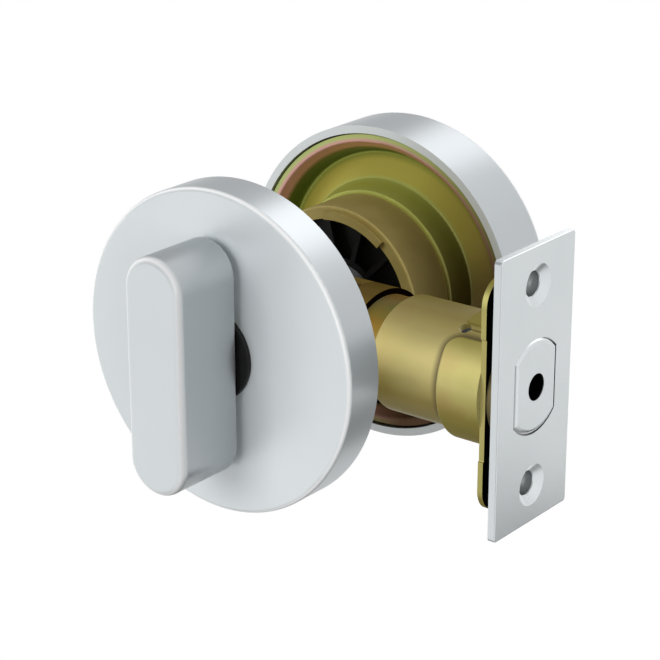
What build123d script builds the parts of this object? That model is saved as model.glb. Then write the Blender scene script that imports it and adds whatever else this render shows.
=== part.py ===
from build123d import *
import math
import os

# Tubular deadbolt in millimetres: a thumbturn indoors, a keyed cylinder outdoors and a throwing bolt.
# Drawn from the centre of the faceplate's front face: +X out of the door edge, +Y outdoors, +Z up.
# The finished pieces are then set forward, so that the origin is the centre of the faceplate's back face.

# Door and drive
backset = 60.3
door_thickness = 44.45
bolt_to_inside_face = 15.0
throw = 25.4
turn_angle = 90.0

# Clearances
running_clearance = 0.05
slide_clearance = 0.25
seat_clearance = 0.1
swing_clearance = 0.5

# Inside rose and its plate
rose_radius = 34.0
rose_depth = 9.3
rose_wall = 2.0
rose_edge = 1.0
mounting_plate_thickness = 2.5
set_screw_radius = 1.5
set_screw_length = 5.0
set_screw_hex = 1.5

# Thumbturn
turn_length = 49.6
turn_width = 14.2
turn_depth = 16.6
turn_standoff = 1.5
turn_front_edge = 1.5
turn_back_edge = 0.7
neck_radius = 4.5
neck_groove_depth = 0.7
bush_wall = 1.1
bush_flange_radius = 9.6
bush_flange_thickness = 0.9
washer_thickness = 0.5
clip_thickness = 0.8
clip_radius = 6.6
clip_opening = 5.2

# Blade between the turn, the crank and the plug driver
blade_width = 6.0
blade_thickness = 2.0
blade_socket_depth = 7.0
blade_hub_radius = 2.3

# Screws through the door
mounting_screw_spacing = 30.0
mounting_screw_radius = 2.4
mounting_screw_head_radius = 4.3
mounting_screw_head_height = 2.5
mounting_screw_slot_width = 1.1
mounting_screw_slot_depth = 1.0
mounting_screw_bite = 6.2

# Outside rose and its dish
drum_radius = 35.0
drum_depth = 15.0
drum_wall = 1.7
drum_edge = 1.5
dish_thickness = 1.0
dish_lip_gap = 0.4
dish_lip_width = 1.6
dish_lip_recess = 0.7
dish_wall_radius = 29.7
dish_wall_depth = 2.8
dish_floor_radius = 28.2
dish_floor_depth = 6.3
dish_step_radius = 22.5
dish_step_depth = 3.9
dish_top_radius = 21.2
dish_top_rise = 2.0
dish_bend = 0.6

# Cylinder collar and the guide inside it
collar_radius = 20.5
collar_wall = 2.7
collar_length = 11.5
collar_flange_length = 4.5
collar_edge = 0.5
collar_lip_height = 1.0
collar_lip_wall = 1.7
collar_lip_start = -10.0
collar_lip_sweep = 48.0
collar_post_radius = 4.2
guide_thickness = 1.6
guide_recess = 4.0
guide_ring_wall = 1.4
guide_rib_width = 1.2
guide_rib_count = 12

# Keyed cylinder
cylinder_radius = 14.0
cylinder_back_reach = 5.0
plug_radius = 6.35
plug_head_radius = 7.6
plug_head_thickness = 1.5
plug_free_angle = 30.0
keyway_width = 1.8
keyway_height = 8.4
keyway_drop = 1.2
keyway_ward = 0.7
pin_radius = 1.4
pin_count = 5
pin_pitch = 3.6
first_pin_from_face = 4.2
key_pin_bottom = 0.6
driver_pin_length = 2.6
spring_wire_radius = 0.22
spring_turns = 3.0
chamber_cap_thickness = 1.2
driver_radius = 7.2
driver_length = 4.0
driver_floor = 0.8
driver_lug_radius = 4.9
driver_lug_half_angle = 12.0
driver_pocket_margin = 8.0

# Faceplate and its backing
plate_width = 25.4
plate_height = 57.15
plate_thickness = 1.6
plate_corner = 0.8
plate_edge = 0.25
plate_screw_spacing = 41.28
plate_hole_radius = 2.6
plate_sink_radius = 4.3
plate_sink_depth = 1.3
backing_width = 25.2
backing_end_margin = 3.0
backing_corner = 5.0
backing_thickness = 1.2
backing_gap = 1.5
backing_waist_depth = 0.3
backing_waist_height = 25.0
tongue_thickness = 1.5
tongue_length = 9.6
tongue_corner = 3.0
tongue_edge = 0.4
tongue_open_half_angle = 40.0
top_tab_half_angle = 22.0
top_tab_length = 8.5

# Bolt tube in three lengths
tube_radius = 12.0
tube_wall = 1.2
tube_rim_edge = 0.3
adjuster_slant = 5.8
sleeve_end = 29.6
case_start = 35.6
inner_tube_wall = 0.9
inner_tube_start = 13.0
case_tail = 20.0
keyhole_radius = 1.2
keyhole_from_front = 12.7
keyhole_angle = 63.0
keyhole_slit = 0.5

# Bolt, tail and crank
bolt_gap = 0.35
bolt_flats = 14.0
bolt_length = 38.0
bolt_proud = 0.3
bolt_edge = 1.0
hard_pin_radius = 2.75
hard_pin_recess = 8.0
hard_pin_length = 19.0
tail_thickness = 4.0
tail_block_height = 14.0
tail_grip = 9.0
tail_block_back = 4.0
tail_bar_height = 2.4
rivet_radius = 1.6
hub_radius = 6.2
crank_arm_thickness = 2.5
crank_pin_radius = 2.0
crank_eye_wall = 1.7
yoke_wall = 3.2

# Places worked out from the sizes above
on_base = (Align.CENTER, Align.CENTER, Align.MIN)
inside_y = -bolt_to_inside_face
outside_y = inside_y + door_thickness
rose_front = inside_y - rose_depth
rose_back_wall = rose_front + rose_wall
drum_front = outside_y + drum_depth
plate_back_y = inside_y - mounting_plate_thickness
turn_back = rose_front - turn_standoff
turn_front = turn_back - turn_depth
bush_radius = neck_radius + running_clearance + bush_wall
washer_y = rose_back_wall + seat_clearance
clip_y = washer_y + washer_thickness + seat_clearance
neck_end = plate_back_y - swing_clearance
collar_seat_y = outside_y - dish_top_rise
collar_end_y = collar_seat_y - collar_length
collar_bore = collar_radius - collar_wall
cylinder_back_y = collar_seat_y - cylinder_back_reach
driver_back_y = cylinder_back_y - slide_clearance
driver_front_y = driver_back_y - driver_length
plug_face_y = drum_front + seat_clearance
screw_x = mounting_screw_spacing / 2
screw_end_y = collar_end_y + mounting_screw_bite
tube_bore = tube_radius - tube_wall
inner_tube_radius = tube_bore - running_clearance
bolt_radius = inner_tube_radius - inner_tube_wall - bolt_gap
backing_height = plate_screw_spacing + 2 * backing_end_margin
backing_front_x = -plate_thickness - backing_gap
backing_back_x = backing_front_x - backing_thickness
bolt_back_x = bolt_proud - bolt_length
crank_reach = throw / 2 / math.sin(math.radians(turn_angle / 2))
crank_start = -turn_angle / 2
lock_axis = Axis((-backset, 0, 0), (0, 1, 0))


# A round bar along Y, placed from the lock axis
def rod_y(radius, start, end, dx=0.0, dz=0.0):
    bar = Cylinder(radius, end - start, align=on_base)
    return Pos(-backset + dx, start, dz) * Rot(-90, 0, 0) * bar


# A round bar along X, placed from the bolt axis
def rod_x(radius, start, end, dz=0.0):
    return Pos(start, 0, dz) * Rot(0, 90, 0) * Cylinder(radius, end - start, align=on_base)


# A body turned about the lock axis from (radius, y) points
def turned(*points):
    outline = make_face(Polyline(*points, close=True))
    return revolve(Pos(-backset, 0, 0) * outline, lock_axis)


# A sketch of (x from the lock axis, z) pushed along Y
def slab_y(sketch, start, end):
    face = Plane(origin=(-backset, start, 0), x_dir=(1, 0, 0), z_dir=(0, -1, 0))
    return extrude(face * sketch, -(end - start))


# A sketch of (y, z) pushed along X
def slab_x(sketch, start, end):
    return extrude(Plane.YZ.offset(start) * sketch, end - start)


# A pie slice; angles run from +Z towards +X, as the turn moves
def slice_of(reach, start, sweep):
    arc = CenterArc((0, 0), reach, 90 - start - sweep, sweep)
    return make_face([Line((0, 0), arc @ 0), arc, Line(arc @ 1, (0, 0))])


# The point at an angle and reach from the lock axis, as (x, z)
def swung(reach, angle):
    turn = math.radians(angle)
    return (reach * math.sin(turn), reach * math.cos(turn))


# The blade's section, wider by a clearance where it is a socket
def blade_section(clearance=0.0):
    return Rectangle(blade_thickness + 2 * clearance, blade_width + 2 * clearance)


# Round bars at both through-door screw places
def screw_pair(radius, start, end):
    return [rod_y(radius, start, end, dx=side * screw_x) for side in (-1, 1)]


# The round section with two flats shared by the bolt and its hole
def bolt_section(clearance=0.0):
    circle = Circle(bolt_radius + clearance)
    return circle & Rectangle(bolt_flats + 2 * clearance, 2 * (bolt_radius + clearance))


# Largest gap between a steady throw and the crank's circular path
def yoke_slack():
    gaps = []
    for step in range(91):
        angle = crank_start + turn_angle * step / 90
        true_x = swung(crank_reach, angle)[0] - swung(crank_reach, crank_start)[0]
        gaps.append(abs(true_x - throw * step / 90))
    return max(gaps)


# Half the width of the yoke's slot, with room for that gap
def yoke_half_slot():
    return crank_pin_radius + yoke_slack() + seat_clearance


# Where the inner tube and the case's top slot end, clear of the thrown yoke
def yoke_reach():
    return backset - throw / 2 - yoke_half_slot() - yoke_wall - swing_clearance


# Turn piece: a stadium block on a round neck with a socket for the blade
def make_thumbturn():
    block = slab_y(SlotOverall(turn_length, turn_width, rotation=90), turn_front, turn_back)
    block = fillet(block.faces().sort_by(Axis.Y)[0].edges(), turn_front_edge)
    block = fillet(block.faces().sort_by(Axis.Y)[-1].edges(), turn_back_edge)
    neck = rod_y(neck_radius, turn_back, neck_end)
    groove = rod_y(clip_radius, clip_y, clip_y + clip_thickness)
    groove -= rod_y(neck_radius - neck_groove_depth, clip_y, clip_y + clip_thickness)
    socket = slab_y(blade_section(running_clearance), neck_end - blade_socket_depth, neck_end)
    return block + neck - groove - socket


# Dark flanged bush in the rose's hole
def make_thumbturn_bush():
    bush = rod_y(bush_flange_radius, rose_front - bush_flange_thickness, rose_front)
    bush = fillet(bush.edges().group_by(Axis.Y)[0], bush_flange_thickness / 3)
    bush += rod_y(bush_radius, rose_front, rose_back_wall)
    return bush - rod_y(neck_radius + running_clearance, turn_back, neck_end)


# Thrust washer behind the rose's wall
def make_thumbturn_washer():
    ring = rod_y(clip_radius, washer_y, washer_y + washer_thickness)
    return ring - rod_y(neck_radius + seat_clearance, turn_back, neck_end)


# Open retaining clip in the neck's groove
def make_thumbturn_clip():
    ring = Circle(clip_radius) - Circle(neck_radius - neck_groove_depth)
    mouth = Pos(0, -clip_radius) * Rectangle(clip_opening, 2 * clip_radius)
    return slab_y(ring - mouth, clip_y, clip_y + clip_thickness)


# Inside cover: a hollow disc, open towards the door
def make_interior_rose():
    bore = rose_radius - rose_wall
    hole = bush_radius + running_clearance
    shell = turned(
        (hole, rose_front),
        (rose_radius, rose_front),
        (rose_radius, inside_y),
        (bore, inside_y),
        (bore, rose_back_wall),
        (hole, rose_back_wall),
    )
    rim = shell.edges().group_by(Axis.Y)[0].sort_by(SortBy.RADIUS)[-1]
    shell = fillet(rim, rose_edge)
    return shell - set_screw_bar(set_screw_radius + running_clearance)


# The set screw's bar, upwards from the bottom of the rose
def set_screw_bar(radius):
    height = inside_y - mounting_plate_thickness / 2
    bar = Cylinder(radius, set_screw_length, align=on_base)
    return Pos(-backset, height, -rose_radius) * bar


# Set screw that pins the rose to its plate
def make_rose_set_screw():
    height = inside_y - mounting_plate_thickness / 2
    key = extrude(RegularPolygon(set_screw_hex / 2, 6), set_screw_length / 3)
    return set_screw_bar(set_screw_radius) - Pos(-backset, height, -rose_radius) * key


# Plate behind the rose that the through-door screws clamp
def make_interior_mounting_plate():
    edge = rose_radius - rose_wall - seat_clearance
    plate = rod_y(edge, plate_back_y, inside_y) - rod_y(neck_radius, plate_back_y, inside_y)
    plate -= screw_pair(mounting_screw_radius + slide_clearance, plate_back_y, inside_y)
    return plate - set_screw_bar(set_screw_radius + running_clearance)


# Two slotted screws through the door, with rounded heads
def make_mounting_screws():
    head_y = plate_back_y - mounting_screw_head_height
    screws = []
    for side in (-1, 1):
        head = rod_y(mounting_screw_head_radius, head_y, plate_back_y, dx=side * screw_x)
        head = fillet(head.edges().group_by(Axis.Y)[0], mounting_screw_head_height / 2)
        slot = Pos(side * screw_x, 0) * Rectangle(mounting_screw_slot_width, 3 * mounting_screw_head_radius)
        head -= slab_y(slot, head_y, head_y + mounting_screw_slot_depth)
        screws.append(head + rod_y(mounting_screw_radius, plate_back_y, screw_end_y, dx=side * screw_x))
    return Compound(screws)


# Outside cover: a round drum, open towards the door
def make_exterior_rose():
    bore = drum_radius - drum_wall
    hole = cylinder_radius + seat_clearance
    inner_front = drum_front - drum_wall
    shell = turned(
        (hole, drum_front),
        (drum_radius, drum_front),
        (drum_radius, outside_y),
        (bore, outside_y),
        (bore, inner_front),
        (hole, inner_front),
    )
    rim = shell.edges().group_by(Axis.Y)[-1].sort_by(SortBy.RADIUS)[-1]
    return fillet(rim, drum_edge)


# Yellow stamped dish: lip, sloped wall, dished floor and a raised seat for the collar
def make_exterior_cup():
    lip_radius = drum_radius - drum_wall - dish_lip_gap
    middle = [
        (lip_radius, outside_y + dish_lip_recess),
        (lip_radius - dish_lip_width, outside_y + dish_lip_recess),
        (dish_wall_radius, outside_y + dish_wall_depth),
        (dish_floor_radius, outside_y + dish_floor_depth),
        (dish_step_radius, outside_y + dish_step_depth),
        (dish_top_radius, collar_seat_y),
        (collar_bore, collar_seat_y),
    ]
    near = FilletPolyline(*middle, radius=dish_bend)
    far = FilletPolyline(*[(radius, y + dish_thickness) for radius, y in middle], radius=dish_bend)
    sheet = make_face([near, Line(near @ 1, far @ 1), far, Line(far @ 0, near @ 0)])
    return revolve(Pos(-backset, 0, 0) * sheet, lock_axis)


# Cast collar: ring with two screw posts, an inner flange for the cylinder and stepped end lips
def make_cylinder_collar():
    ring = rod_y(collar_radius, collar_end_y, collar_seat_y)
    ring = fillet(ring.edges().group_by(Axis.Y)[0], collar_edge)
    ring -= rod_y(collar_bore, collar_end_y, collar_seat_y)
    flange = rod_y(collar_bore - seat_clearance, collar_seat_y - dish_top_rise, collar_seat_y + collar_flange_length)
    ring += flange
    ring += rod_y(collar_bore, collar_seat_y - dish_top_rise, collar_seat_y)
    for start in (collar_lip_start, collar_lip_start + 180):
        lip = slice_of(collar_bore + collar_lip_wall, start, collar_lip_sweep) - Circle(collar_bore)
        ring += slab_y(lip, collar_end_y - collar_lip_height, collar_end_y + collar_edge)
    for post in screw_pair(collar_post_radius, collar_end_y + guide_recess / 2, collar_seat_y):
        ring += post
    ring &= rod_y(collar_radius, collar_end_y - collar_lip_height, collar_seat_y + collar_flange_length)
    ring -= rod_y(cylinder_radius + running_clearance, cylinder_back_y - seat_clearance, drum_front)
    return ring - screw_pair(mounting_screw_radius + running_clearance, collar_end_y, screw_end_y)


# Black ribbed guide round the plug driver, cut away round the screw posts
def make_tailpiece_guide():
    front = collar_end_y + guide_recess
    back = front + guide_thickness
    bore = driver_radius + slide_clearance
    disc = rod_y(collar_bore - seat_clearance, front, back)
    disc += rod_y(bore + guide_ring_wall, collar_end_y + guide_recess / 2, back)
    rib = Pos(0, collar_bore / 2) * Rectangle(guide_rib_width, collar_bore - 2 * seat_clearance)
    ribs = slab_y(rib, collar_end_y + guide_recess / 2, front)
    for number in range(guide_rib_count):
        disc += ribs.rotate(lock_axis, 360 / guide_rib_count * (number + 0.5))
    disc -= rod_y(bore, collar_end_y, back)
    return disc - screw_pair(collar_post_radius + seat_clearance, collar_end_y, back)


# Distances of the pin stacks along Y
def pin_places():
    return [plug_face_y - first_pin_from_face - number * pin_pitch for number in range(pin_count)]


# Upright round bars at every pin place
def pin_bars(radius, start, end):
    bar = Cylinder(radius, end - start, align=on_base)
    return [Pos(-backset, y, start) * bar for y in pin_places()]


# The slot on top of the cylinder that the chamber cap closes
def chamber_slot(clearance=0.0):
    places = pin_places()
    length = places[0] - places[-1] + 4 * pin_radius + 2 * clearance
    bottom = cylinder_radius - chamber_cap_thickness - clearance
    middle = (places[0] + places[-1]) / 2
    block = Box(4 * pin_radius + 2 * clearance, length, 2 * chamber_cap_thickness, align=on_base)
    return Pos(-backset, middle, bottom) * block


# Cylinder shell with the plug's bore and the pin chambers
def make_cylinder_body():
    body = rod_y(cylinder_radius, cylinder_back_y, drum_front)
    body -= rod_y(plug_radius + running_clearance, cylinder_back_y, drum_front)
    head_room = plug_head_radius + slide_clearance
    body -= rod_y(head_room, drum_front - plug_head_thickness - slide_clearance, drum_front)
    body -= pin_bars(pin_radius + running_clearance, 0, cylinder_radius)
    return body - chamber_slot(running_clearance)


# Strip that closes the pin chambers
def make_chamber_cap():
    return chamber_slot() & rod_y(cylinder_radius, cylinder_back_y, drum_front)


# Turning plug with a warded keyway and its half of the pin chambers
def make_key_plug():
    plug = rod_y(plug_radius, driver_back_y, plug_face_y)
    plug += rod_y(plug_head_radius, plug_face_y - plug_head_thickness, plug_face_y)
    keyway = Pos(0, -keyway_drop) * Rectangle(keyway_width, keyway_height)
    keyway += Pos(keyway_width / 2, -keyway_drop) * Rectangle(2 * keyway_ward, keyway_height / 4)
    keyway -= Pos(-keyway_width / 2, -2 * keyway_drop) * Rectangle(2 * keyway_ward, keyway_height / 5)
    plug -= slab_y(keyway, driver_back_y, plug_face_y)
    return plug - pin_bars(pin_radius + running_clearance, key_pin_bottom, plug_radius + plug_head_radius)


# Lower pins, cut off at the plug's skin
def make_key_pins():
    skin = rod_y(plug_radius, driver_back_y, plug_face_y)
    return Compound([bar & skin for bar in pin_bars(pin_radius, key_pin_bottom, plug_radius)])


# Upper pins, resting just clear of the plug
def make_driver_pins():
    bottom = plug_radius + running_clearance
    return Compound(pin_bars(pin_radius, bottom, bottom + driver_pin_length))


# Coil springs between the upper pins and the cap
def make_pin_springs():
    bottom = plug_radius + running_clearance + driver_pin_length + spring_wire_radius
    height = cylinder_radius - chamber_cap_thickness - spring_wire_radius - bottom
    path = Helix(height / spring_turns, height, pin_radius - spring_wire_radius)
    wire = Plane(path @ 0, z_dir=path % 0) * Circle(spring_wire_radius)
    coil = sweep(wire, path)
    return Compound([Pos(-backset, y, bottom) * coil for y in pin_places()])


# Cam behind the plug; its pocket lets the blade's lug swing freely
def make_plug_driver():
    start = -plug_free_angle - driver_lug_half_angle - driver_pocket_margin
    sweep_angle = turn_angle + 2 * (plug_free_angle + driver_lug_half_angle + driver_pocket_margin)
    pocket = slice_of(driver_lug_radius + slide_clearance, start, sweep_angle)
    pocket += Circle(blade_hub_radius + slide_clearance)
    cam = rod_y(driver_radius, driver_front_y, driver_back_y)
    return cam - slab_y(pocket, driver_front_y, driver_back_y - driver_floor)


# Flat blade from the turn to the cam, with a round end and one lug
def make_tailpiece():
    lug_back = driver_back_y - driver_floor - slide_clearance
    lug_front = driver_front_y + slide_clearance
    blade = slab_y(blade_section(), neck_end - blade_socket_depth + seat_clearance, collar_end_y)
    blade += rod_y(blade_hub_radius, tube_radius + swing_clearance, lug_back)
    lug = slice_of(driver_lug_radius, -driver_lug_half_angle, 2 * driver_lug_half_angle)
    return blade + slab_y(lug, lug_front, lug_back)


# Door-edge plate with two countersunk holes and the bolt's opening
def make_faceplate():
    outline = RectangleRounded(plate_width, plate_height, plate_corner) - bolt_section(slide_clearance)
    plate = slab_x(outline, -plate_thickness, 0)
    plate = fillet(plate.faces().sort_by(Axis.X)[-1].outer_wire().edges(), plate_edge)
    sink = Cone(plate_hole_radius, plate_sink_radius, plate_sink_depth, align=on_base)
    for z in (-plate_screw_spacing / 2, plate_screw_spacing / 2):
        plate -= rod_x(plate_hole_radius, -plate_thickness, 0, dz=z)
        plate -= Pos(-plate_sink_depth, 0, z) * Rot(0, 90, 0) * sink
    return plate


# A ring sector round the tube, open or closed about the top
def tube_wrap(thickness, top_half_angle, keep_top):
    inner = tube_radius + running_clearance
    ring = Circle(inner + thickness) - Circle(inner)
    top = slice_of(2 * tube_radius, -top_half_angle, 2 * top_half_angle)
    return ring & top if keep_top else ring - top


# Dog-bone plate behind the faceplate, with bosses, a half-collar tongue and a top tab
def make_faceplate_backing():
    outline = RectangleRounded(backing_width, backing_height, backing_corner)
    waist = RectangleRounded(2 * backing_waist_depth, backing_waist_height, 0.9 * backing_waist_depth)
    for side in (-1, 1):
        outline -= Pos(side * backing_width / 2, 0) * waist
    plate = slab_x(outline, backing_back_x, backing_front_x)
    for z in (-plate_screw_spacing / 2, plate_screw_spacing / 2):
        plate += rod_x(backing_end_margin, backing_front_x, -plate_thickness - seat_clearance, dz=z)
        plate -= rod_x(plate_hole_radius, backing_back_x, -plate_thickness, dz=z)
    tongue_end = backing_back_x - tongue_length
    wrap = slab_x(tube_wrap(tongue_thickness, tongue_open_half_angle, False), tongue_end, backing_back_x)
    corners = wrap.edges().filter_by(GeomType.LINE).group_by(Axis.X)[0]
    wrap = fillet(corners, tongue_corner)
    outer = wrap.faces().filter_by(GeomType.CYLINDER).sort_by(SortBy.AREA)[-1]
    rim = outer.edges().filter_by(lambda edge: edge.center().X < backing_back_x - tongue_edge)
    wrap = fillet(rim, tongue_edge)
    tab = tube_wrap(tongue_thickness / 2, top_tab_half_angle, True)
    wrap += slab_x(tab, backing_back_x - top_tab_length, backing_back_x)
    return plate + wrap - rod_x(tube_radius + running_clearance, tongue_end, 0)


# A slanted cutting plane across the tube, set back from the faceplate
def slant_plane(distance):
    turn = math.radians(adjuster_slant)
    return Plane(origin=(-distance, 0, 0), z_dir=(math.cos(turn), -math.sin(turn), 0))


# Front length of the tube, with a slanted rear rim and a keyhole slit near the top
def make_bolt_sleeve():
    far_end = -sleeve_end - 2 * tube_radius
    tube = rod_x(tube_radius, far_end, -plate_thickness) - rod_x(tube_bore, far_end, -plate_thickness)
    tube = split(tube, bisect_by=slant_plane(sleeve_end), keep=Keep.TOP)
    tube = fillet(tube.edges().group_by(Axis.X)[0].sort_by(SortBy.LENGTH)[-1], tube_rim_edge)
    hole = Cylinder(keyhole_radius, 2 * tube_radius, align=on_base)
    slit = Pos(keyhole_from_front / 2, 0, 0) * Box(keyhole_from_front, keyhole_slit, 2 * tube_radius, align=on_base)
    return tube - Rot(90 - keyhole_angle, 0, 0) * Pos(-keyhole_from_front, 0, 0) * (hole + slit)


# Inner tube that bridges the two slanted rims
def make_inner_tube():
    end = -yoke_reach()
    tube = rod_x(inner_tube_radius, end, -inner_tube_start)
    return tube - rod_x(inner_tube_radius - inner_tube_wall, end, -inner_tube_start)


# Rear length of the tube: bearings for the crank, a top slot for its swing and two screw holes
def make_rear_case():
    back = -backset - case_tail
    tube = rod_x(tube_radius, back, 0) - rod_x(tube_bore, back, 0)
    tube = split(tube, bisect_by=slant_plane(case_start), keep=Keep.BOTTOM)
    tube -= rod_y(hub_radius + running_clearance, -tube_radius, tube_radius)
    tube -= screw_pair(mounting_screw_radius + slide_clearance, -tube_radius, tube_radius)
    slot_width = tail_thickness + 2 * (crank_arm_thickness + 2 * swing_clearance)
    slot_length = backset + case_tail - yoke_reach()
    slot = Box(slot_length, slot_width, 2 * tube_radius, align=(Align.MIN, Align.CENTER, Align.MIN))
    return tube - Pos(back, 0, 0) * slot


# Bolt with two flats, a bore for its hard pin and a slot for its tail
def make_bolt():
    bar = slab_x(bolt_section(), bolt_back_x, bolt_proud)
    bar = fillet(bar.faces().sort_by(Axis.X)[-1].edges(), bolt_edge)
    bar -= rod_x(hard_pin_radius, bolt_proud - hard_pin_recess - hard_pin_length, bolt_proud)
    slot = Rectangle(tail_thickness + 2 * running_clearance, 2 * bolt_radius)
    bar -= slab_x(slot, bolt_back_x, bolt_back_x + tail_grip)
    return bar - make_tail_rivet()


# Hard pin inside the bolt against sawing
def make_hardened_pin():
    front = bolt_proud - hard_pin_recess
    pin = rod_x(hard_pin_radius - running_clearance, front - hard_pin_length, front)
    return fillet(pin.edges().group_by(Axis.X)[-1], hard_pin_radius / 4)


# Cross rivet that holds the tail in the bolt
def make_tail_rivet():
    offset = backset + bolt_back_x + tail_grip / 2
    return rod_y(rivet_radius, -bolt_flats / 2, bolt_flats / 2, dx=offset)


# Yoke plate behind the bolt: a block in the bolt, a bar over the hub and an upright slotted yoke
def make_bolt_tail():
    pin_x, pin_low = swung(crank_reach, crank_start)
    half_slot = yoke_half_slot()
    slot_low = pin_low - crank_pin_radius - seat_clearance
    slot_high = crank_reach + crank_pin_radius + seat_clearance
    bar_low = hub_radius + swing_clearance
    block_front = backset + bolt_back_x + tail_grip - running_clearance
    block_back = backset + bolt_back_x - tail_block_back
    block_low = bar_low + tail_bar_height - tail_block_height
    block = Pos(block_back, block_low) * Rectangle(
        block_front - block_back, tail_block_height, align=(Align.MIN, Align.MIN)
    )
    yoke_left = pin_x - half_slot - yoke_wall
    bar = Pos(yoke_left, bar_low) * Rectangle(
        block_front - yoke_left, tail_bar_height, align=(Align.MIN, Align.MIN)
    )
    yoke = Pos(pin_x, bar_low) * Rectangle(
        2 * (half_slot + yoke_wall), slot_high + yoke_wall - bar_low, align=(Align.CENTER, Align.MIN)
    )
    outline = block + bar + yoke
    outline = fillet(outline.vertices().group_by(Axis.Y)[-1], yoke_wall)
    slot = Pos(pin_x, (slot_low + slot_high) / 2) * RectangleRounded(
        2 * half_slot, slot_high - slot_low, crank_pin_radius
    )
    plate = slab_y(outline - slot, -tail_thickness / 2, tail_thickness / 2)
    return plate - make_tail_rivet()


# Crank: a long hub in the case's bearings, with two arms that straddle the yoke
def make_crank():
    eye = Pos(*swung(crank_reach, crank_start)) * Circle(crank_pin_radius + crank_eye_wall)
    arm = make_hull(Circle(hub_radius).edges() + eye.edges())
    inner = tail_thickness / 2 + swing_clearance
    body = rod_y(hub_radius, -tube_radius, tube_radius)
    body += slab_y(arm, inner, inner + crank_arm_thickness)
    body += slab_y(arm, -inner - crank_arm_thickness, -inner)
    body -= slab_y(blade_section(running_clearance), -tube_radius, tube_radius)
    return body - make_crank_pin()


# Pin across the crank's two arms, through the yoke's slot
def make_crank_pin():
    x, z = swung(crank_reach, crank_start)
    half = tail_thickness / 2 + swing_clearance + crank_arm_thickness
    return rod_y(crank_pin_radius, -half, half, dx=x, dz=z)


pieces = {
    "thumbturn": make_thumbturn,
    "thumbturn_bush": make_thumbturn_bush,
    "thumbturn_washer": make_thumbturn_washer,
    "thumbturn_clip": make_thumbturn_clip,
    "interior_rose": make_interior_rose,
    "interior_mounting_plate": make_interior_mounting_plate,
    "rose_set_screw": make_rose_set_screw,
    "mounting_screws": make_mounting_screws,
    "exterior_rose": make_exterior_rose,
    "exterior_cup": make_exterior_cup,
    "cylinder_collar": make_cylinder_collar,
    "tailpiece_guide": make_tailpiece_guide,
    "cylinder_body": make_cylinder_body,
    "chamber_cap": make_chamber_cap,
    "key_plug": make_key_plug,
    "key_pins": make_key_pins,
    "driver_pins": make_driver_pins,
    "pin_springs": make_pin_springs,
    "plug_driver": make_plug_driver,
    "tailpiece": make_tailpiece,
    "faceplate": make_faceplate,
    "faceplate_backing": make_faceplate_backing,
    "bolt_sleeve": make_bolt_sleeve,
    "inner_tube": make_inner_tube,
    "rear_case": make_rear_case,
    "bolt": make_bolt,
    "hardened_pin": make_hardened_pin,
    "bolt_tail": make_bolt_tail,
    "tail_rivet": make_tail_rivet,
    "crank": make_crank,
    "crank_pin": make_crank_pin,
}

os.makedirs("parts", exist_ok=True)
for name, make in pieces.items():
    export_step(Pos(plate_thickness, 0, 0) * make(), f"parts/{name}.step")
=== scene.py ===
import math

import bpy
from mathutils import Matrix, Vector

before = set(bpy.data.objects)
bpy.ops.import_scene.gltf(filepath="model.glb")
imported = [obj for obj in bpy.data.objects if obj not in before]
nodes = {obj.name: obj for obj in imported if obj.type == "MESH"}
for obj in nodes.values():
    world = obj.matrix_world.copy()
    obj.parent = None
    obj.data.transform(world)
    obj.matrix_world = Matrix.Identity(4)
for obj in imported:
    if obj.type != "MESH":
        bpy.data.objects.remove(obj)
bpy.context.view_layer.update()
print("frame loaded with", len(nodes), "nodes")

mm = 0.001  # in metres
lockAxisX = -0.0587  # the covers, the turn and the cylinder share this axis along Y, in metres
white = (1.0, 1.0, 1.0, 1.0)
factor, under, over, mixed = 0, 6, 7, 2  # a Mix node's colour sockets: three inputs and its output


# sRGB hex to the linear colour that shaders take
def hexLinear(code):
    parts = [int(code[i:i + 2], 16) / 255 for i in (1, 3, 5)]
    linear = [c / 12.92 if c <= 0.04045 else ((c + 0.055) / 1.055) ** 2.4 for c in parts]
    return (*linear, 1.0)


# adds one node with its settings, socket values and links
def addNode(tree, kind, values=None, links=None, **settings):
    node = tree.nodes.new(kind)
    for key, value in settings.items():
        setattr(node, key, value)
    for key, value in (values or {}).items():
        node.inputs[key].default_value = value
    for key, source in (links or {}).items():
        tree.links.new(source, node.inputs[key])
    return node


# a new material with an empty tree
def freshMaterial(name):
    material = bpy.data.materials.new(name)
    material.use_nodes = True
    material.node_tree.nodes.clear()
    return material, material.node_tree


# noise cells per metre for a feature of that many millimetres
def perMetre(size):
    return 1.0 / (size * mm)


# puts colours along a ramp, the first and the last on the two ends it comes with
def setStops(ramp, stops):
    elements = ramp.color_ramp.elements
    for element, (spot, code) in zip(elements, (stops[0], stops[-1])):
        element.position = spot
        element.color = hexLinear(code)
    for spot, code in stops[1:-1]:
        elements.new(spot).color = hexLinear(code)


# a fine grain, and the roughness that varies with it between two values
def makeGrain(tree, place, look):
    grain = addNode(tree, "ShaderNodeTexNoise", {"Scale": perMetre(look["grainSize"]), "Detail": 2.0},
                    {"Vector": place})
    low, high = look["rough"]
    rough = addNode(tree, "ShaderNodeMapRange", {"To Min": low, "To Max": high},
                    {"Value": grain.outputs["Fac"]})
    return grain.outputs["Fac"], rough.outputs[0]


# Satin chrome plate on brass: even grey-blue metal with soft broad reflections. Its real grain is too fine
# to show, so it is drawn at 0.3 mm. On the bolt it is faintly clouded, and the bore in the end is painted
# black, a painted shade. Sizes are in millimetres
boltChrome = dict(name="satinChromeBolt", tone="#E0E4E6", cloud="#D4DADC", cloudSize=14.0, metallic=0.80,
                  faceRough=0.36, rimRough=0.25, grainSize=0.3, grainRough=0.03, bump=0.01, bumpHeight=0.02,
                  openingRadius=2.9, openingBehind=1.75, darkTone="#0A0A0B")
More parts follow.
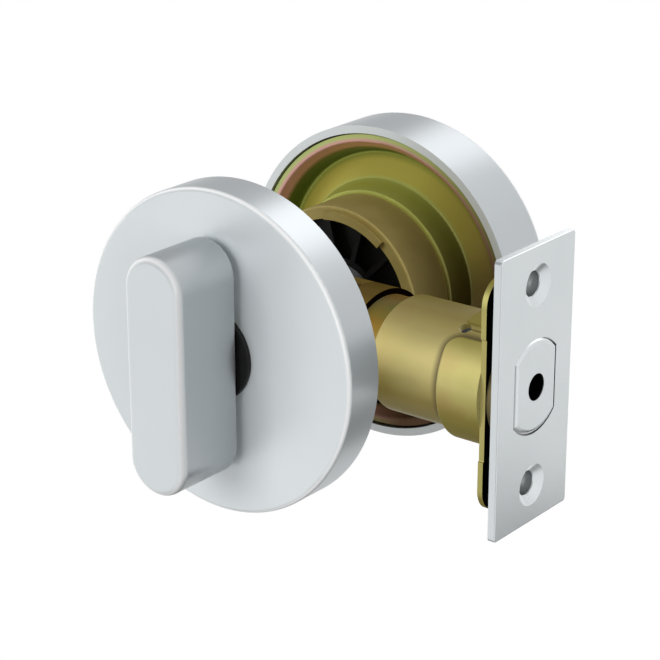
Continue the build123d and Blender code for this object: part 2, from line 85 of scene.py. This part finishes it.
# The same on the faceplate, where the wall of the bolt's opening is painted black, a painted shade
faceplateChrome = dict(boltChrome, name="satinChromeFaceplate", openingRadius=11.5, openingBehind=1.5)
# On the covers and the turn a painted shade makes it darker round the turned rims, and a painted highlight
# makes it bright along the rounded edges. The curve gives how much painted highlight, by how squarely the
# surface faces along Y: 0 on a rim, 1 on a flat
satinChrome = dict(name="satinChromePlate", tone="#DADFE1", cloud="#D4DADC", cloudSize=14.0, metallic=0.40,
                   faceRough=0.36, rimRough=0.34, grainSize=0.3, grainRough=0.03, bump=0.01, bumpHeight=0.02,
                   rimShadeTone="#C4C9CC", rimMetal=0.80, edgeHighlightTone="#FAFBFC", edgeMetal=0.15,
                   edgeHighlight=[(0.10, 0.0), (0.65, 1.0), (0.80, 1.0), (0.98, 0.0)])


def makeSatinChrome(look):
    material, tree = freshMaterial(look["name"])
    coords = addNode(tree, "ShaderNodeTexCoord").outputs
    place = coords["Object"]
    cloud = addNode(tree, "ShaderNodeTexNoise", {"Scale": perMetre(look["cloudSize"]), "Detail": 3.0},
                    {"Vector": place})
    tones = addNode(tree, "ShaderNodeMix", {under: hexLinear(look["cloud"]), over: hexLinear(look["tone"])},
                    {factor: cloud.outputs["Fac"]}, data_type="RGBA")
    colour = tones.outputs[mixed]
    facing = addNode(tree, "ShaderNodeSeparateXYZ", None, {0: coords["Normal"]})
    flat = addNode(tree, "ShaderNodeMath", None, {0: facing.outputs["Y"]}, operation="ABSOLUTE").outputs[0]
    wired = {}
    # painted shade on the turned rims and painted highlight along the rounded edges, by which way the surface
    # faces
    if "edgeHighlight" in look:
        edge = addNode(tree, "ShaderNodeFloatCurve", None, {"Value": flat})
        curve = edge.mapping.curves[0]
        curve.points[0].location, curve.points[1].location = (0.0, 0.0), (1.0, 0.0)
        for spot in look["edgeHighlight"]:
            curve.points.new(*spot)
        for point in curve.points:
            point.handle_type = "VECTOR"
        edge.mapping.update()
        rims = addNode(tree, "ShaderNodeMix", {under: hexLinear(look["rimShadeTone"])},
                       {factor: flat, over: colour}, data_type="RGBA")
        edges = addNode(tree, "ShaderNodeMix", {over: hexLinear(look["edgeHighlightTone"])},
                        {factor: edge.outputs[0], under: rims.outputs[mixed]}, data_type="RGBA")
        colour = edges.outputs[mixed]
        plated = addNode(tree, "ShaderNodeMapRange", {"To Min": look["rimMetal"], "To Max": look["metallic"]},
                         {"Value": flat})
        metal = addNode(tree, "ShaderNodeMix", {"B": look["edgeMetal"]},
                        {"Factor": edge.outputs[0], "A": plated.outputs[0]})
        wired["Metallic"] = metal.outputs[0]
    if "openingRadius" in look:
        # painted shade, black: within the opening's radius of the bolt's axis, and behind the front by a
        # little
        axes = addNode(tree, "ShaderNodeSeparateXYZ", None, {0: place})
        across = addNode(tree, "ShaderNodeVectorMath", {1: (0, 1, 1)}, {0: place}, operation="MULTIPLY")
        reach = addNode(tree, "ShaderNodeVectorMath", None, {0: across.outputs[0]}, operation="LENGTH")
        inside = addNode(tree, "ShaderNodeMath", {1: look["openingRadius"] * mm},
                         {0: reach.outputs["Value"]}, operation="LESS_THAN")
        behind = addNode(tree, "ShaderNodeMath", {1: look["openingBehind"] * mm},
                         {0: axes.outputs["X"]}, operation="LESS_THAN")
        shadedInOpening = addNode(tree, "ShaderNodeMath", None, {0: inside.outputs[0], 1: behind.outputs[0]},
                          operation="MULTIPLY")
        dark = addNode(tree, "ShaderNodeMix", {over: hexLinear(look["darkTone"])},
                       {factor: shadedInOpening.outputs[0], under: colour}, data_type="RGBA")
        colour = dark.outputs[mixed]
    turned = addNode(tree, "ShaderNodeMapRange", {"To Min": look["rimRough"], "To Max": look["faceRough"]},
                     {"Value": flat})
    grain = addNode(tree, "ShaderNodeTexNoise", {"Scale": perMetre(look["grainSize"]), "Detail": 2.0},
                    {"Vector": place}).outputs["Fac"]
    rough = addNode(tree, "ShaderNodeMath", {1: look["grainRough"]}, {0: grain, 2: turned.outputs[0]},
                    operation="MULTIPLY_ADD")
    bump = addNode(tree, "ShaderNodeBump", {"Strength": look["bump"], "Distance": look["bumpHeight"] * mm},
                   {"Height": grain})
    wired.update({"Base Color": colour, "Roughness": rough.outputs[0], "Normal": bump.outputs[0]})
    shader = addNode(tree, "ShaderNodeBsdfPrincipled", {"Metallic": look["metallic"]}, wired)
    addNode(tree, "ShaderNodeOutputMaterial", None, {"Surface": shader.outputs[0]})
    return material


# Yellow dichromate over zinc on steel: straw yellow with drifts of olive and rose, a soft half-metal sheen,
# and a painted shade, browner and darker, along the top and the underside. Its fleck is drawn coarser than
# life, to show. driftAt is the noise level of each tone, and the painted shade's bands go by how far the
# surface faces up, from -1 to 1
# the tint of the painted shade, and white where no shade is painted
film, clear = "#CFC8A6", "#FFFFFF"
tubeZinc = dict(name="yellowDichromateTube", straw="#BEB072", olive="#B3A666", rose="#B89E6A",
                driftSize=16.0, driftAt=dict(olive=0.30, straw=0.50, rose=0.72), metallic=0.45, gloss=0.5,
                grainSize=0.8, rough=(0.38, 0.46), bump=0.04, bumpHeight=0.02,
                filmBands=[(-1.0, film), (-0.34, film), (0.12, clear), (0.70, clear), (0.96, film),
                           (1.0, film)])
# On the front length a painted shade darkens the seam along the backing's half collar, in full next to its
# outline
sleeveZinc = dict(tubeZinc, name="yellowDichromateSleeve", seamX=-12.3, seamAngle=40.0, seamCorner=3.0,
                  tubeRadius=12.0, seamFull=1.0, seamEnd=2.3, seamDepth=0.8, seamShadeTone="#4A3E1C")
# On the backing plate the screw bores are bare, and the face in the narrow gap is painted black, a painted
# shade
backingZinc = dict(tubeZinc, name="yellowDichromateBacking", straw="#C0B676", olive="#B4AF6C", gloss=0.0,
                   screwZ=20.64, boreRadius=2.9, boreTone="#84888A",
                   darkFrom=-1.55, darkSlant=0.0, darkTone="#060504",
                   filmBands=[(-1.0, film), (-0.34, film), (0.12, clear), (0.45, clear), (0.88, film),
                              (1.0, film)])
# Inside the adjuster the film is fresh: golden, with green drifts, and a painted shade, black, under the
# front length
innerZinc = dict(tubeZinc, name="yellowDichromateInner", straw="#947822", olive="#827E28", rose="#9A6E26",
                 driftSize=9.0, darkFrom=-27.5, darkSlant=0.0, darkTone="#0C0905")
# The rear length is browner, and its sawn front edge is painted dark along the slant of the cut, a painted
# shade
rearZinc = dict(tubeZinc, name="yellowDichromateRear", straw="#86723C", olive="#7C6C3A", rose="#86703C",
                gloss=0.0, darkFrom=-34.1, darkSlant=0.1016, darkTone="#120804")


def makeYellowZinc(look):
    material, tree = freshMaterial(look["name"])
    coords = addNode(tree, "ShaderNodeTexCoord").outputs
    place = coords["Object"]
    axes = addNode(tree, "ShaderNodeSeparateXYZ", None, {0: place}).outputs
    drift = addNode(tree, "ShaderNodeTexNoise", {"Scale": perMetre(look["driftSize"]), "Detail": 2.0},
                    {"Vector": place})
    tones = addNode(tree, "ShaderNodeValToRGB", None, {"Fac": drift.outputs["Fac"]})
    setStops(tones, [(spot, look[tone]) for tone, spot in look["driftAt"].items()])
    # painted shade: darker and browner on the top and the underside, by how far the surface faces up
    facing = addNode(tree, "ShaderNodeSeparateXYZ", None, {0: coords["Normal"]})
    upward = addNode(tree, "ShaderNodeMapRange", {"From Min": -1.0, "From Max": 1.0},
                     {"Value": facing.outputs["Z"]})
    bands = addNode(tree, "ShaderNodeValToRGB", None, {"Fac": upward.outputs[0]})
    setStops(bands, [((rise + 1) / 2, code) for rise, code in look["filmBands"]])
    shadedTones = addNode(tree, "ShaderNodeMix", {factor: 1.0}, {under: tones.outputs[0], over: bands.outputs[0]},
                     data_type="RGBA", blend_type="MULTIPLY")
    colour = shadedTones.outputs[mixed]
    wired, layers = {}, []
    # painted shade: dark past a plane across the part, where the metal is also taken out
    if "darkFrom" in look:
        level = addNode(tree, "ShaderNodeMath", {1: -look["darkSlant"]}, {0: axes["Y"], 2: axes["X"]},
                        operation="MULTIPLY_ADD")
        past = addNode(tree, "ShaderNodeMath", {1: look["darkFrom"] * mm}, {0: level.outputs[0]},
                       operation="GREATER_THAN")
        metal = addNode(tree, "ShaderNodeMapRange", {"To Min": look["metallic"], "To Max": 0.0},
                        {"Value": past.outputs[0]})
        wired["Metallic"] = metal.outputs[0]
        layers.append((past.outputs[0], look["darkTone"]))
    if "screwZ" in look:
        height = addNode(tree, "ShaderNodeMath", None, {0: axes["Z"]}, operation="ABSOLUTE")
        rise = addNode(tree, "ShaderNodeMath", {1: look["screwZ"] * mm}, {0: height.outputs[0]},
                       operation="SUBTRACT")
        across = addNode(tree, "ShaderNodeCombineXYZ", None, {"Y": axes["Y"], "Z": rise.outputs[0]})
        reach = addNode(tree, "ShaderNodeVectorMath", None, {0: across.outputs[0]}, operation="LENGTH")
        inBore = addNode(tree, "ShaderNodeMath", {1: look["boreRadius"] * mm}, {0: reach.outputs["Value"]},
                         operation="LESS_THAN")
        layers.append((inBore.outputs[0], look["boreTone"]))
    if "seamX" in look:
        # painted shade along the seam: distance from the half collar's rounded outline, along the tube and
        # round it
        corner, radius = look["seamCorner"] * mm, look["tubeRadius"] * mm
        side = addNode(tree, "ShaderNodeMath", None, {0: axes["Y"]}, operation="ABSOLUTE")
        angle = addNode(tree, "ShaderNodeMath", None, {0: side.outputs[0], 1: axes["Z"]}, operation="ARCTAN2")
        along = addNode(tree, "ShaderNodeMath", {0: look["seamX"] * mm + corner}, {1: axes["X"]},
                        operation="SUBTRACT")
        around = addNode(tree, "ShaderNodeMath",
                         {1: -radius, 2: math.radians(look["seamAngle"]) * radius + corner},
                         {0: angle.outputs[0]}, operation="MULTIPLY_ADD")
        both = addNode(tree, "ShaderNodeCombineXYZ", None, {"X": along.outputs[0], "Y": around.outputs[0]})
        outside = addNode(tree, "ShaderNodeVectorMath", {1: (0, 0, 0)}, {0: both.outputs[0]},
                          operation="MAXIMUM")
        away = addNode(tree, "ShaderNodeVectorMath", None, {0: outside.outputs[0]}, operation="LENGTH")
        seamShade = addNode(tree, "ShaderNodeMapRange",
                        {"From Min": corner + look["seamFull"] * mm,
                         "From Max": corner + look["seamEnd"] * mm,
                         "To Min": look["seamDepth"], "To Max": 0.0}, {"Value": away.outputs["Value"]})
        layers.append((seamShade.outputs[0], look["seamShadeTone"]))
    for mask, code in layers:
        laid = addNode(tree, "ShaderNodeMix", {over: hexLinear(code)}, {factor: mask, under: colour},
                       data_type="RGBA")
        colour = laid.outputs[mixed]
    grain, rough = makeGrain(tree, place, look)
    bump = addNode(tree, "ShaderNodeBump", {"Strength": look["bump"], "Distance": look["bumpHeight"] * mm},
                   {"Height": grain})
    wired.update({"Base Color": colour, "Roughness": rough, "Normal": bump.outputs[0]})
    shader = addNode(tree, "ShaderNodeBsdfPrincipled",
                     {"Metallic": look["metallic"], "Specular IOR Level": look["gloss"]}, wired)
    addNode(tree, "ShaderNodeOutputMaterial", None, {"Surface": shader.outputs[0]})
    return material


# The same plate on the pressed dish, where its film thickens into rings of green and rose, given by radius,
# with a painted shade, browner down to the right
dishZinc = dict(name="yellowDichromateDish", metallic=0.55, grainSize=0.8, rough=(0.32, 0.42),
                rings=[(21.2, "#ACB058"), (22.0, "#A6A84C"), (22.6, "#AAB05C"), (23.4, "#AEA548"),
                       (26.5, "#AEA448"), (28.0, "#7C8434"), (28.8, "#4A6220"), (29.6, "#5C682A"),
                       (30.2, "#D69E96"), (31.6, "#D2A098"), (32.3, "#B4BE78"), (33.6, "#B0BA70")],
                brown="#452A08", brownFrom=-8.0, brownTo=24.0, brownAlong=(0.8, 0.0, -0.6))


def makeDishZinc(look):
    material, tree = freshMaterial(look["name"])
    place = addNode(tree, "ShaderNodeTexCoord").outputs["Object"]
    centred = addNode(tree, "ShaderNodeMapping", {"Location": (-lockAxisX, 0, 0)},
                      {"Vector": place}).outputs[0]
    flat = addNode(tree, "ShaderNodeVectorMath", {1: (1, 0, 1)}, {0: centred}, operation="MULTIPLY")
    radius = addNode(tree, "ShaderNodeVectorMath", None, {0: flat.outputs[0]}, operation="LENGTH")
    first, last = look["rings"][0][0], look["rings"][-1][0]
    share = addNode(tree, "ShaderNodeMapRange", {"From Min": first * mm, "From Max": last * mm},
                    {"Value": radius.outputs["Value"]})
    rings = addNode(tree, "ShaderNodeValToRGB", None, {"Fac": share.outputs[0]})
    setStops(rings, [((ring - first) / (last - first), code) for ring, code in look["rings"]])
    # painted shade, browner down to the right
    downRight = addNode(tree, "ShaderNodeVectorMath", {1: look["brownAlong"]}, {0: centred},
                        operation="DOT_PRODUCT")
    browning = addNode(tree, "ShaderNodeMapRange",
                       {"From Min": look["brownFrom"] * mm, "From Max": look["brownTo"] * mm},
                       {"Value": downRight.outputs["Value"]})
    tones = addNode(tree, "ShaderNodeMix", {over: hexLinear(look["brown"])},
                    {factor: browning.outputs[0], under: rings.outputs[0]}, data_type="RGBA")
    rough = makeGrain(tree, place, look)[1]
    shader = addNode(tree, "ShaderNodeBsdfPrincipled", {"Metallic": look["metallic"]},
                     {"Base Color": tones.outputs[mixed], "Roughness": rough})
    addNode(tree, "ShaderNodeOutputMaterial", None, {"Surface": shader.outputs[0]})
    return material


# Plain finishes on what shows less: one tone with a second one drifting through it, over a fine grain
plain = dict(gloss=0.5, bump=0.08, bumpHeight=0.03)
# Dichromate on a die casting: tan, darker and rougher than on sheet
castZinc = dict(plain, name="dichromateCastZinc", tone="#B8A868", second="#98864C", driftSize=7.0,
                metallic=0.6, grainSize=0.5, rough=(0.38, 0.50))
# Moulded acetal: near black with a faint sheen
blackAcetal = dict(plain, name="mouldedBlackAcetal", tone="#0A0A0A", second="#0F0F10", driftSize=3.0,
                   metallic=0.0, grainSize=0.4, rough=(0.38, 0.50), gloss=0.25)
# Machined brass: warm yellow, fairly bright
machinedBrass = dict(plain, name="machinedBrass", tone="#D9B870", second="#C9A65C", driftSize=4.0,
                     metallic=1.0, grainSize=0.25, rough=(0.22, 0.34))
# Bright zinc on steel: cool grey
brightSteel = dict(plain, name="brightZincSteel", tone="#BFC2C4", second="#AEB1B4", driftSize=5.0,
                   metallic=1.0, grainSize=0.4, rough=(0.28, 0.40))
# Hardened steel left black from the furnace: dull
blackSteel = dict(plain, name="hardenedBlackSteel", tone="#0E0E0F", second="#161617", driftSize=3.0,
                  metallic=0.2, grainSize=0.4, rough=(0.50, 0.65), gloss=0.2)


def makePlain(look):
    material, tree = freshMaterial(look["name"])
    place = addNode(tree, "ShaderNodeTexCoord").outputs["Object"]
    drift = addNode(tree, "ShaderNodeTexNoise", {"Scale": perMetre(look["driftSize"]), "Detail": 3.0},
                    {"Vector": place})
    tones = addNode(tree, "ShaderNodeMix", {under: hexLinear(look["tone"]), over: hexLinear(look["second"])},
                    {factor: drift.outputs["Fac"]}, data_type="RGBA")
    grain, rough = makeGrain(tree, place, look)
    bump = addNode(tree, "ShaderNodeBump", {"Strength": look["bump"], "Distance": look["bumpHeight"] * mm},
                   {"Height": grain})
    shader = addNode(tree, "ShaderNodeBsdfPrincipled",
                     {"Metallic": look["metallic"], "Specular IOR Level": look["gloss"]},
                     {"Base Color": tones.outputs[mixed], "Roughness": rough, "Normal": bump.outputs[0]})
    addNode(tree, "ShaderNodeOutputMaterial", None, {"Surface": shader.outputs[0]})
    return material


finishOf = {
    makeSatinChrome(satinChrome): ["thumbturn", "interior_rose", "exterior_rose"],
    makeSatinChrome(boltChrome): ["bolt"],
    makeSatinChrome(faceplateChrome): ["faceplate"],
    makeYellowZinc(tubeZinc): ["interior_mounting_plate"],
    makeYellowZinc(sleeveZinc): ["bolt_sleeve"],
    makeYellowZinc(backingZinc): ["faceplate_backing"],
    makeYellowZinc(innerZinc): ["inner_tube"],
    makeYellowZinc(rearZinc): ["rear_case"],
    makeDishZinc(dishZinc): ["exterior_cup"],
    makePlain(castZinc): ["cylinder_collar"],
    makePlain(blackAcetal): ["tailpiece_guide", "thumbturn_bush"],
    makePlain(machinedBrass): ["cylinder_body", "chamber_cap", "key_plug", "key_pins", "driver_pins"],
    makePlain(brightSteel): ["thumbturn_washer", "thumbturn_clip", "rose_set_screw", "mounting_screws",
                             "pin_springs", "plug_driver", "tailpiece", "bolt_tail", "tail_rivet", "crank",
                             "crank_pin"],
    makePlain(blackSteel): ["hardened_pin"],
}
print("materials made:", len(finishOf))
for material, names in finishOf.items():
    for name in names:
        for slotOfNode in nodes[name].material_slots:
            slotOfNode.material = material
print("finishes given to", sum(len(names) for names in finishOf.values()), "nodes")

# a pale floor well below, which glows less in the metal than it does to the eye
floorLook = dict(size=0.7, height=-0.45, tone="#EDEDEB", seen=0.95, mirrored=0.35, glowShare=0.75)
bpy.ops.object.select_all(action="DESELECT")
bpy.ops.mesh.primitive_plane_add(size=floorLook["size"], location=(lockAxisX, 0, floorLook["height"]))
floor = bpy.context.object
floor.name = "paleFloor"
floorMaterial, floorTree = freshMaterial("paleFloorPaint")
floorPaint = addNode(floorTree, "ShaderNodeBsdfDiffuse", {"Color": hexLinear(floorLook["tone"])})
floorPath = addNode(floorTree, "ShaderNodeLightPath").outputs
floorLevel = addNode(floorTree, "ShaderNodeMapRange",
                     {"To Min": floorLook["seen"], "To Max": floorLook["mirrored"]},
                     {"Value": floorPath["Is Glossy Ray"]})
floorGlow = addNode(floorTree, "ShaderNodeEmission", {"Color": hexLinear(floorLook["tone"])},
                    {"Strength": floorLevel.outputs[0]})
floorEye = addNode(floorTree, "ShaderNodeMath", None,
                   {0: floorPath["Is Camera Ray"], 1: floorPath["Is Glossy Ray"]}, operation="MAXIMUM")
floorShare = addNode(floorTree, "ShaderNodeMath", {1: floorLook["glowShare"]}, {0: floorEye.outputs[0]},
                     operation="MULTIPLY")
floorSeen = addNode(floorTree, "ShaderNodeMixShader", None,
                    {0: floorShare.outputs[0], 1: floorPaint.outputs[0], 2: floorGlow.outputs[0]})
addNode(floorTree, "ShaderNodeOutputMaterial", None, {"Surface": floorSeen.outputs[0]})
floor.data.materials.append(floorMaterial)
print("floor laid")

aim = Vector((-0.045, 0.0, 0.0))  # the middle of the lock, in metres


# where a card or a lamp stands, and its turn towards the lock
def standFacing(stand):
    away = Vector(stand["direction"]).normalized()
    return aim + away * stand["distance"], away.to_track_quat("Z", "Y")


# cards from black to nearly white that only the metal sees, to shape its reflections
cards = {
    "underCard": dict(direction=(0.41, 0.67, -0.62), distance=0.36, size=0.14, tone=0.0),
    "topCard": dict(direction=(-0.72, 0.42, 0.55), distance=0.60, size=0.66, tone=0.56),
    "rearCard": dict(direction=(0.62, 0.70, 0.02), distance=0.60, size=0.62, tone=0.92),
    "sideCard": dict(direction=(0.54, -0.76, -0.36), distance=0.60, size=0.36, tone=0.18),
    "frontCard": dict(direction=(-0.30, -0.74, 0.52), distance=0.80, size=1.20, tone=0.25),
}
for name, card in cards.items():
    spot, turned = standFacing(card)
    bpy.ops.object.select_all(action="DESELECT")
    bpy.ops.mesh.primitive_plane_add(size=card["size"], location=spot, rotation=turned.to_euler())
    sheet = bpy.context.object
    sheet.name = name
    sheet.visible_camera = sheet.visible_diffuse = sheet.visible_shadow = False
    cardMaterial, cardTree = freshMaterial(name + "Grey")
    cardGlow = addNode(cardTree, "ShaderNodeEmission", {"Color": white, "Strength": card["tone"]})
    addNode(cardTree, "ShaderNodeOutputMaterial", None, {"Surface": cardGlow.outputs[0]})
    sheet.data.materials.append(cardMaterial)
print("cards set up:", len(cards))

# each softbox lights only what its lit list names, and where it has a shade list only that casts a shade
tubeNodes = ["bolt_sleeve", "faceplate_backing", "inner_tube", "rear_case"]
dishNodes = ["exterior_cup", "cylinder_collar"]
coverNodes = ["interior_rose", "thumbturn", "exterior_rose"]
otherNodes = [name for name in nodes if name not in tubeNodes + dishNodes + ["tailpiece_guide"]]
rimNodes = [name for name in otherNodes if name not in ("thumbturn", "exterior_rose")]
frontNodes = [name for name in otherNodes if name not in coverNodes]
backNodes = tubeNodes + ["exterior_rose", "cylinder_body", "key_plug", "interior_mounting_plate"]
lamps = {
    "rimSoftbox": dict(direction=(-0.12, 0.74, 0.66), distance=0.9, size=0.75, power=2.0, mirrored=True,
                       lit=rimNodes),
    "drumSoftbox": dict(direction=(-0.20, 0.74, 0.64), distance=0.9, size=0.50, power=0.75, mirrored=True,
                        lit=["exterior_rose"]),
    "frontSoftbox": dict(direction=(0.40, -0.80, 0.45), distance=1.1, size=0.4, power=10.0, mirrored=False,
                         lit=frontNodes + ["paleFloor"]),
    "coverSoftbox": dict(direction=(-0.18, -0.93, 0.30), distance=1.1, size=0.6, power=9.5, mirrored=False,
                         lit=coverNodes),
    "edgeSoftbox": dict(direction=(0.80, -0.56, 0.20), distance=1.1, size=0.4, power=3.0, mirrored=False,
                        lit=["interior_rose"]),
    "backSoftbox": dict(direction=(0.30, 0.93, 0.20), distance=1.1, size=0.6, power=7.0, mirrored=False,
                        lit=backNodes),
    "tubeSoftbox": dict(direction=(-0.52, -0.79, 0.33), distance=1.1, size=0.9, power=9.0, mirrored=True,
                        lit=tubeNodes, shade=tubeNodes),
    "dishSoftbox": dict(direction=(-0.40, -0.70, 0.59), distance=1.1, size=0.6, power=12.0, mirrored=False,
                        lit=dishNodes, shade=["cylinder_collar"]),
}
lightable = dict(nodes, paleFloor=floor)
for name, lamp in lamps.items():
    light = bpy.data.lights.new(name, "AREA")
    light.shape = "SQUARE"
    light.size = lamp["size"]
    light.energy = lamp["power"]
    softbox = bpy.data.objects.new(name, light)
    bpy.context.scene.collection.objects.link(softbox)
    softbox.rotation_mode = "QUATERNION"
    softbox.location, softbox.rotation_quaternion = standFacing(lamp)
    softbox.visible_glossy = lamp["mirrored"]
    linking = softbox.light_linking
    linking.receiver_collection = bpy.data.collections.new(name + "Lit")
    for piece in lamp["lit"]:
        linking.receiver_collection.objects.link(lightable[piece])
    if "shade" in lamp:
        linking.blocker_collection = bpy.data.collections.new(name + "Shade")
        for piece in lamp["shade"]:
            linking.blocker_collection.objects.link(lightable[piece])
for name in tubeNodes + ["faceplate"]:
    nodes[name].visible_glossy = False  # the satin rims mirror neither the yellow tube nor the faceplate
print("lamps set up:", len(lamps))

# white surroundings for what the camera and the metal see, a plain level for the rest
studio = dict(seen=1.0, fill=0.20)
world = bpy.data.worlds.new("whiteStudio")
bpy.context.scene.world = world
world.use_nodes = True
sky = world.node_tree
sky.nodes.clear()
path = addNode(sky, "ShaderNodeLightPath").outputs
seen = path["Is Camera Ray"]
for ray in ("Is Glossy Ray", "Is Transmission Ray"):
    seen = addNode(sky, "ShaderNodeMath", None, {0: seen, 1: path[ray]}, operation="MAXIMUM").outputs[0]
level = addNode(sky, "ShaderNodeMapRange", {"To Min": studio["fill"], "To Max": studio["seen"]},
                {"Value": seen})
glow = addNode(sky, "ShaderNodeBackground", {"Color": white}, {"Strength": level.outputs[0]})
addNode(sky, "ShaderNodeOutputWorld", None, {"Surface": glow.outputs[0]})

# the photograph's view: angles in degrees, distances in metres, lens and sensor in millimetres
shot = dict(azimuth=37.87, elevation=20.57, distance=0.44369, target=(-0.0464, 0.0, 0.0), lens=118.24,
            sensor=36.0, shift=(-0.0115, 0.0042), clip=(0.01, 20.0))
cameraData = bpy.data.cameras.new("shopCamera")
cameraData.lens = shot["lens"]
cameraData.sensor_width = shot["sensor"]
cameraData.shift_x, cameraData.shift_y = shot["shift"]
cameraData.clip_start, cameraData.clip_end = shot["clip"]
camera = bpy.data.objects.new("shopCamera", cameraData)
bpy.context.scene.collection.objects.link(camera)
around, rise = math.radians(shot["azimuth"]), math.radians(shot["elevation"])
right = Vector((math.cos(around), math.sin(around), 0))
back = Vector((math.sin(around) * math.cos(rise), -math.cos(around) * math.cos(rise), math.sin(rise)))
up = back.cross(right)
stand = Matrix.Translation(Vector(shot["target"]) + back * shot["distance"])
camera.matrix_world = stand @ Matrix((right, up, back)).transposed().to_4x4()
bpy.context.scene.camera = camera
bpy.context.scene.view_settings.view_transform = "Standard"
print("surroundings and camera in place")
